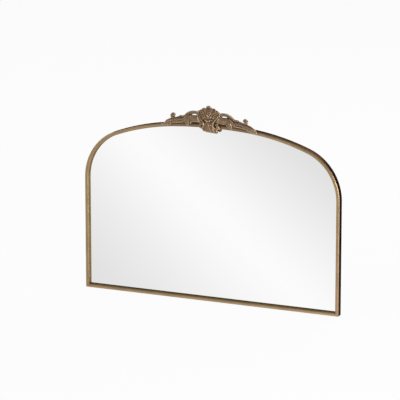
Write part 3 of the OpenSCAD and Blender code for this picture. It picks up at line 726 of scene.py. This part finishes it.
def joined(node, forms, middle):
    """A closed mesh round all forms of a casting, made on a grid of cells."""
    vertices, faces, count = [], [], 0
    for points, form_faces in forms:
        vertices.append(at_seam(points, middle))
        faces += [[i + count for i in face] for face in form_faces]
        count += len(points)
    rough = mesh_object(node + "_forms", np.concatenate(vertices), faces)
    remesh = rough.modifiers.new("Join", "REMESH")
    remesh.mode = "VOXEL"
    remesh.voxel_size = CELL
    made = rough.evaluated_get(bpy.context.evaluated_depsgraph_get())
    mesh = bpy.data.meshes.new_from_object(made)
    bpy.data.objects.remove(rough)
    return mesh


def averaged(points, edges, passes):
    """Points moved by a share towards the mean of their neighbours, in a number of passes."""
    n = len(points)
    ends = np.concatenate([edges[:, 0], edges[:, 1]])
    others = np.concatenate([edges[:, 1], edges[:, 0]])
    neighbours = np.maximum(np.bincount(ends, minlength=n), 1)[:, None]
    for _ in range(passes):
        sums = [np.bincount(ends, weights=points[others, k], minlength=n) for k in range(3)]
        points = points + SMOOTHING * (np.stack(sums, axis=-1) / neighbours - points)
    return points


def relief_of(points, edges, normals, gain):
    """How far each point stands proud, which the finish turns into dark, as patina and painted shade, or
    bright.

    It is the distance along the normal from two smoothed copies, each in its own unit, times the
    Points close to the casting's flat back count lower, by an exponential of their distance
    from it: a painted shadow where the casting stands on the rail's face.
    """
    fine = averaged(points, edges, FINE_PASSES)
    broad = averaged(fine, edges, BROAD_PASSES)
    apart = (points - fine) / FINE_UNIT + (points - broad) / BROAD_UNIT
    return gain * np.sum(apart * normals, axis=1) - RIM_SHADOW * np.exp(-points[:, 2] / RIM_SHADOW_REACH)


def cast(node, forms, gain, middle=False, mirrored=False):
    """One casting from its forms, smoothed, with its relief stored at each point."""
    mesh = joined(node, forms, middle)
    edges = edge_ends(mesh)
    points = averaged(per_vertex(mesh, "co"), edges, CAST_PASSES)
    points[:, 2] = np.maximum(points[:, 2], 0.0)
    mesh.vertices.foreach_set("co", points.ravel())
    mesh.update()
    proud = relief_of(points, edges, per_vertex(mesh, "normal"), gain)
    if mirrored:
        points[:, 0] *= -1
    # In the part's frame the three axes are x, -out and z, so the faces keep their side unless mirrored
    mesh.vertices.foreach_set("co", to_part(points[:, 0], points[:, 1], points[:, 2]).ravel())
    relief = mesh.attributes.new("relief", "FLOAT", "POINT")
    relief.data.foreach_set("value", proud.astype(np.float32))
    mesh.polygons.foreach_set("use_smooth", np.full(len(mesh.polygons), True))
    if mirrored:
        mesh.flip_normals()
    mesh.update()
    obj = bpy.data.objects.new(node, mesh)
    bpy.context.scene.collection.objects.link(obj)
    finish(obj, node, "crest_gold")


# Materials

WHITE = (1.0, 1.0, 1.0)


def grey(level):
    """A neutral colour."""
    return (level, level, level)


def feed(tree, node, inputs):
    """Puts numbers, colours or links on a node's inputs."""
    for key, value in inputs.items():
        socket = node.inputs[key]
        if isinstance(value, bpy.types.NodeSocket):
            tree.links.new(value, socket)
        elif socket.type == "RGBA":
            socket.default_value = (*value, 1.0)
        else:
            socket.default_value = value


def add(tree, kind, inputs=None, **settings):
    """A new shader node of a kind, with the given settings and inputs."""
    node = tree.nodes.new("ShaderNode" + kind)
    for key, value in settings.items():
        setattr(node, key, value)
    feed(tree, node, inputs or {})
    return node


def surface(name):
    """A new material and its node tree."""
    material = bpy.data.materials.new(name)
    material.use_nodes = True
    return material, material.node_tree


def object_coordinates(tree):
    """Places on the piece, in metres of the part's frame."""
    return add(tree, "TexCoord").outputs["Object"]


def axes_of(tree, vector):
    """The X, Y and Z of a vector."""
    return add(tree, "SeparateXYZ", {"Vector": vector}).outputs


def stretched(tree, vector, *scale):
    """The vector with each axis scaled by its own factor."""
    return add(tree, "Mapping", {"Vector": vector, "Scale": scale}).outputs["Vector"]


def noise(tree, vector, scale=1.0, detail=3.0, roughness=0.55):
    """Grey cloud pattern, from 0 to 1, of the given scale in the vector's units."""
    inputs = {"Vector": vector, "Scale": scale, "Detail": detail, "Roughness": roughness}
    return add(tree, "TexNoise", inputs).outputs["Fac"]


def worked(tree, operation, *values):
    """The result of an operation on one or two values."""
    return add(tree, "Math", dict(enumerate(values)), operation=operation).outputs["Value"]


def span(tree, value, given, wanted):
    """A value mapped from one range (low, high) to another, and held at its ends."""
    inputs = {"Value": value, "From Min": given[0], "From Max": given[1]}
    inputs.update({"To Min": wanted[0], "To Max": wanted[1]})
    return add(tree, "MapRange", inputs).outputs["Result"]


def ramp(tree, value, stops):
    """Colour from a value through stops of (position, (r, g, b))."""
    node = add(tree, "ValToRGB", {"Fac": value})
    elements = node.color_ramp.elements
    while len(elements) < len(stops):
        elements.new(0.5)
    for element, (place, colour) in zip(elements, stops):
        element.position = place
        element.color = (*colour, 1.0)
    return node.outputs["Color"]


def mixed(tree, factor, first, second):
    """Two colours mixed by a factor, on the Mix node's sockets for colours."""
    inputs = {0: factor, 6: first, 7: second}
    return add(tree, "Mix", inputs, data_type="RGBA").outputs[2]


def bump(tree, pattern, height, strength):
    """The shader's normal with a bump of a real height, in metres, at a strength."""
    inputs = {"Height": pattern, "Distance": height, "Strength": strength}
    return {"Normal": add(tree, "Bump", inputs).outputs["Normal"]}


def coat(tree, colour, metallic, roughness, more):
    """Colour, metallic share, roughness and more inputs for a material's Principled shader."""
    inputs = {"Base Color": colour, "Metallic": metallic, "Roughness": roughness, **more}
    feed(tree, tree.nodes["Principled BSDF"], inputs)


def rail_finish():
    """Antique gold brushed along the rail: outer side painted dark as shade, a painted highlight on its
    round outer edge, then the gold face and an olive inner side.

    The colour goes by the share of the way round the section. A painted shadow of the crest lies on
    the crown round it, fading out past the scrolls' tips.
    """
    # The third colour is the painted shadow that the crest casts on the crown
    brush_mark, haze, painted_crest_shadow = (0.10, 0.07, 0.042), (0.17, 0.115, 0.068), (0.10, 0.062, 0.040)
    material, tree = surface("antique_gold_rail")
    uv = add(tree, "UVMap", uv_map="UVMap").outputs["UV"]
    share = span(tree, axes_of(tree, uv)["Y"], (0.0, ROUND[-1] * MM), (0.0, 1.0))
    side, face, inner, edge = np.array([OUTER_SIDE_END, FACE_END, INNER_SIDE_END, EDGE_TURN]) / ROUND[-1]
    # Colour round the section, partly painted light: the outer side is painted dark as the shade it lies
    # in, its round edge painted bright as a highlight that also stands for rubbing, and the inner side is
    # olive and darker than the face
    base = ramp(tree, share, [
        (0.0, (0.030, 0.021, 0.014)),
        (side, (0.036, 0.025, 0.016)),
        (side + 0.4 * edge, (0.24, 0.155, 0.085)),
        (side + 0.8 * edge, (0.60, 0.42, 0.24)),
        (0.5 * (side + edge + face), (0.50, 0.315, 0.165)),
        (face, (0.50, 0.335, 0.185)),
        (face + 0.5 * edge, (0.42, 0.310, 0.160)),
        (inner, (0.25, 0.200, 0.090)),
        (inner + 0.02, (0.05, 0.035, 0.024)),
    ])
    brushing = noise(tree, stretched(tree, uv, 10.0, 1500.0, 1.0), detail=4.0, roughness=0.6)
    clouds = noise(tree, stretched(tree, uv, 16.0, 60.0, 1.0))
    streaked = mixed(tree, span(tree, brushing, (0.35, 0.7), (0.0, 0.38)), base, brush_mark)
    clouded = mixed(tree, span(tree, clouds, (0.45, 0.8), (0.0, 0.45)), streaked, haze)
    # Painted shadow of the crest on the crown's rail, strongest within 0.15 m of the centre line and gone
    # past 0.20 m
    place = axes_of(tree, object_coordinates(tree))
    aside = worked(tree, "ABSOLUTE", place["X"])
    by_crest = span(tree, aside, (0.15, 0.20), (0.45, 0.0))
    on_crown = span(tree, place["Z"], (0.08, 0.10), (0.0, 1.0))
    crest_shadowed = mixed(tree, worked(tree, "MULTIPLY", by_crest, on_crown), clouded, painted_crest_shadow)
    rough = span(tree, brushing, (0.3, 0.7), (0.28, 0.44))
    more = bump(tree, brushing, height=0.00012, strength=0.35)
    coat(tree, crest_shadowed, 0.9, rough, {"Specular Tint": (0.42, 0.33, 0.24), **more})
    return material


def crest_finish():
    """Cast antique gold by the stored relief: dark in the hollows, as patina and painted shade, and rubbed
    bright on the ridges.
    """
    haze = (0.15, 0.095, 0.055)
    material, tree = surface("antique_gold_crest")
    relief = add(tree, "Attribute", attribute_name="relief").outputs["Fac"]
    place = object_coordinates(tree)
    grain = noise(tree, place, scale=900.0, detail=4.0, roughness=0.65)
    clouds = noise(tree, place, scale=70.0)
    uneven = worked(tree, "ADD", relief, span(tree, grain, (0.3, 0.7), (-0.10, 0.10)))
    # Low relief is painted near black: patina in the hollows, and painted shade in the recesses
    base = ramp(tree, span(tree, uneven, (-1.0, 1.0), (0.0, 1.0)), [
        (0.08, (0.014, 0.008, 0.005)),
        (0.34, (0.078, 0.045, 0.025)),
        (0.52, (0.232, 0.142, 0.080)),
        (0.70, (0.40, 0.272, 0.163)),
        (0.92, (0.62, 0.475, 0.315)),
    ])
    clouded = mixed(tree, span(tree, clouds, (0.4, 0.75), (0.0, 0.5)), base, haze)
    metallic = span(tree, uneven, (-0.6, 0.6), (0.45, 0.85))
    rough = span(tree, uneven, (-0.6, 0.6), (0.62, 0.34))
    coat(tree, clouded, metallic, rough, bump(tree, grain, height=0.00012, strength=0.3))
    return material


def mirror_finish():
    """Silvered glass: a mirror on its front, green-grey at its cut edges and its painted back."""
    silver, edge_green, edge_roughness = grey(0.975), (0.18, 0.26, 0.23), 0.35
    material, tree = surface("silvered_glass")
    normal = add(tree, "NewGeometry").outputs["Normal"]
    front = span(tree, axes_of(tree, normal)["Y"], (-0.95, -0.85), (1.0, 0.0))
    film = noise(tree, object_coordinates(tree), scale=6.0)
    polish = span(tree, film, (0.3, 0.7), (0.004, 0.016))
    inputs = {0: front, 2: edge_roughness, 3: polish}
    rough = add(tree, "Mix", inputs, data_type="FLOAT").outputs[0]
    coat(tree, mixed(tree, front, edge_green, silver), front, rough, {})
    return material


def board_finish():
    """Plain brown fibreboard: short fibres laid both ways, a few dark chips and faint press clouds."""
    cloud, chip = (0.22, 0.148, 0.09), (0.13, 0.085, 0.05)
    material, tree = surface("fibreboard")
    place = object_coordinates(tree)
    upright = noise(tree, stretched(tree, place, 2400.0, 1200.0, 420.0), roughness=0.6)
    level = noise(tree, stretched(tree, place, 420.0, 1200.0, 2400.0), roughness=0.6)
    fibres = worked(tree, "MAXIMUM", upright, level)
    clouds = noise(tree, place, scale=9.0)
    chips = noise(tree, place, scale=330.0, detail=2.0)
    base = ramp(tree, fibres, [
        (0.42, (0.255, 0.174, 0.106)),
        (0.60, (0.30, 0.205, 0.126)),
        (0.80, (0.345, 0.242, 0.154)),
    ])
    clouded = mixed(tree, span(tree, clouds, (0.35, 0.7), (0.0, 0.3)), base, cloud)
    chipped = mixed(tree, span(tree, chips, (0.68, 0.76), (0.0, 0.5)), clouded, chip)
    coat(tree, chipped, 0.0, 0.78, bump(tree, fibres, height=0.0001, strength=0.3))
    return material


def steel_finish():
    """Zinc plated steel with fine rolling marks and a faint yellow cast."""
    material, tree = surface("zinc_plated_steel")
    place = object_coordinates(tree)
    marks = noise(tree, stretched(tree, place, 350.0, 350.0, 2600.0), detail=4.0, roughness=0.6)
    clouds = noise(tree, place, scale=120.0)
    base = ramp(tree, clouds, [(0.3, (0.50, 0.50, 0.49)), (0.7, (0.66, 0.65, 0.62))])
    rough = span(tree, marks, (0.3, 0.7), (0.24, 0.40))
    coat(tree, base, 1.0, rough, bump(tree, marks, height=0.00006, strength=0.3))
    return material


def grained_finish(name, dark, light, scale, metallic, roughness, height, strength):
    """Plain casting, rubber or foam: one fine grain in its colour and its bump."""
    material, tree = surface(name)
    grain = noise(tree, object_coordinates(tree), scale=scale, detail=4.0, roughness=0.7)
    base = ramp(tree, grain, [(0.3, dark), (0.7, light)])
    coat(tree, base, metallic, roughness, bump(tree, grain, height, strength))
    return material


# Grained finishes: name, dark, light, scale, metallic, roughness, and the bump's height and strength
KEY_METAL = ("plain_casting", grey(0.38), grey(0.55), 700.0, 0.9, 0.5, 0.0001, 0.3)
RUBBER = ("black_rubber", grey(0.02), grey(0.045), 1500.0, 0.0, 0.6, 0.0002, 0.35)
FOAM = ("white_foam", (0.62, 0.62, 0.60), (0.8, 0.8, 0.78), 1800.0, 0.0, 0.9, 0.0002, 0.35)

MATERIALS = {
    "rail_gold": rail_finish(),
    "crest_gold": crest_finish(),
    "mirror": mirror_finish(),
    "board": board_finish(),
    "steel": steel_finish(),
    "key_metal": grained_finish(*KEY_METAL),
    "rubber": grained_finish(*RUBBER),
    "foam": grained_finish(*FOAM),
}


# Camera, floor and light

# The photograph's camera: its place in metres, its turn to the left of +Y and its tilt down in
# degrees, its lens and frame width in millimetres, and how far it sees in metres
CAMERA_AT = (4.3322, FACE_Y - 9.7031, BOTTOM_Z + 2.9506)
CAMERA_TURN = 24.253
CAMERA_TILT = 13.5793
LENS = 270.0
FRAME_W = 36.0
FAR_END = 100.0
# The floor: half its size and its drop under the mirror, in metres, its own colour, and the share of
# white light in what the camera sees of it
FLOOR_HALF = 40.0
FLOOR_DROP = 0.0004
FLOOR_COLOUR = grey(0.82)
FLOOR_WHITE = 0.93
# Band of light that the glass shows on the floor: the way across it, its middle line and how far it
# fades to both sides, in metres, and its greys by share of the fade
BAND_ACROSS = (0.793, -0.609, 0.0)
BAND_AT = 0.325
BAND_FADE = 1.2
BAND_GREYS = [(0.0, 0.992), (0.083, 0.972), (0.167, 0.939), (0.333, 0.860), (0.5, 0.788), (1.0, 0.62)]
# Colour of the floor behind the mirror in reflections
FLOOR_BEHIND = (0.20, 0.19, 0.18)
# The sky: strength of its even light, and its greys by height in reflections, in front and behind
SKY_LIGHT = 0.5
SKY_IN_FRONT = [(0.0, 0.45), (0.20, 0.18), (0.9, 0.20)]
SKY_BEHIND = [(0.0, 0.10), (0.30, 0.12), (0.9, 0.90)]
# Soft boxes: name, place, target, size in metres and power in watts
LAMPS = [
    ("key_lamp", (3.3, -3.0, 0.3), (0.0, 0.0, 0.0), 1.4, 130.0),
    ("fill_lamp", (-4.4, -2.2, 1.7), (0.0, 0.0, 0.0), 2.4, 50.0),
    ("back_lamp", (0.8, 3.6, 3.0), (0.0, 0.0, -0.1), 2.4, 70.0),
]


def look():
    """Sets up the photograph's camera."""
    data = bpy.data.cameras.new("camera")
    data.sensor_fit = "HORIZONTAL"
    data.sensor_width = FRAME_W
    data.lens = LENS
    data.clip_end = FAR_END
    camera = bpy.data.objects.new("camera", data)
    turn = Matrix.Rotation(math.radians(CAMERA_TURN), 4, "Z")
    tilt = Matrix.Rotation(math.radians(90 - CAMERA_TILT), 4, "X")
    camera.matrix_world = Matrix.Translation(CAMERA_AT) @ (turn @ tilt)
    bpy.context.scene.collection.objects.link(camera)
    bpy.context.scene.camera = camera


def greys(tree, value, stops):
    """Grey from a value through stops of (position, level)."""
    return ramp(tree, value, [(place, grey(level)) for place, level in stops])


def glow(tree, kind, colour, strength=1.0):
    """Light of a colour, from an Emission or a Background node."""
    return add(tree, kind, {"Color": colour, "Strength": strength}).outputs[0]


def blended(tree, factor, first, second):
    """Two shaders mixed by a factor."""
    return add(tree, "MixShader", {0: factor, 1: first, 2: second}).outputs[0]


def floor_finish():
    """White to the camera but for the soft shadow, and a band of light on grey to glossy rays."""
    material, tree = surface("pale_floor")
    tree.nodes.clear()
    rays = add(tree, "LightPath").outputs
    place = object_coordinates(tree)
    inputs = {0: place, 1: BAND_ACROSS}
    across = add(tree, "VectorMath", inputs, operation="DOT_PRODUCT").outputs["Value"]
    off = worked(tree, "ABSOLUTE", worked(tree, "SUBTRACT", across, BAND_AT))
    band = greys(tree, span(tree, off, (0.0, BAND_FADE), (0.0, 1.0)), BAND_GREYS)
    parts = axes_of(tree, place)
    bright = mixed(tree, span(tree, parts["X"], (0.5, 1.0), (0.0, 1.0)), band, WHITE)
    shown = mixed(tree, span(tree, parts["Y"], (0.0, 0.5), (0.0, 1.0)), bright, FLOOR_BEHIND)
    matte = add(tree, "BsdfDiffuse", {"Color": FLOOR_COLOUR}).outputs["BSDF"]
    seen = worked(tree, "MULTIPLY", rays["Is Camera Ray"], FLOOR_WHITE)
    plain = blended(tree, seen, matte, glow(tree, "Emission", WHITE))
    last = blended(tree, rays["Is Glossy Ray"], plain, glow(tree, "Emission", shown))
    add(tree, "OutputMaterial", {"Surface": last})
    return material


def floor():
    """A wide level plane just under the mirror."""
    level = cad_box[0][2] - FLOOR_DROP
    corners = [(x * FLOOR_HALF, y * FLOOR_HALF, level) for x, y in ((-1, -1), (1, -1), (1, 1), (-1, 1))]
    obj = mesh_object("floor", corners, [[0, 1, 2, 3]], smooth=False)
    obj.data.materials.append(floor_finish())


def world():
    """Even soft light, white to the camera, and greys by height to glossy rays."""
    made = bpy.data.worlds.new("studio")
    bpy.context.scene.world = made
    made.use_nodes = True
    tree = made.node_tree
    tree.nodes.clear()
    rays = add(tree, "LightPath").outputs
    way = axes_of(tree, add(tree, "TexCoord").outputs["Generated"])
    in_front, behind = greys(tree, way["Z"], SKY_IN_FRONT), greys(tree, way["Z"], SKY_BEHIND)
    shown = mixed(tree, span(tree, way["Y"], (-0.1, 0.5), (0.0, 1.0)), in_front, behind)
    even = glow(tree, "Background", WHITE, SKY_LIGHT)
    plain = blended(tree, rays["Is Glossy Ray"], even, glow(tree, "Background", shown))
    last = blended(tree, rays["Is Camera Ray"], plain, glow(tree, "Background", WHITE))
    add(tree, "OutputWorld", {"Surface": last})


def lamp(name, place, target, size, power):
    """A square soft box that points at a target."""
    data = bpy.data.lights.new(name, "AREA")
    data.shape = "SQUARE"
    data.size = size
    data.energy = power
    obj = bpy.data.objects.new(name, data)
    aim = Vector(target) - Vector(place)
    obj.matrix_world = Matrix.Translation(place) @ aim.to_track_quat("-Z", "Y").to_matrix().to_4x4()
    bpy.context.scene.collection.objects.link(obj)


look()
floor()
world()
for row in LAMPS:
    lamp(*row)

# Each CAD node takes its slot's material, for those that stay in view
for row in frame["record"]["subparts"]:
    kept = NODES[row["node"]].data
    kept.materials.clear()
    kept.materials.append(MATERIALS[row["material_slot"]])

rail("arch_rail", arch_rings)
rail("bottom_rail", bottom_rings)
pan_screws("backing_clip_screws")
pan_screws("hanger_screws")
bumpers("wall_bumpers")
cast("crest_cartouche", cartouche_forms(), MIDDLE_GAIN, middle=True)
cast("crest_scroll_right", scroll_forms(), SIDE_GAIN)
cast("crest_scroll_left", scroll_forms(), SIDE_GAIN, mirrored=True)

bpy.context.scene.view_settings.view_transform = "Standard"
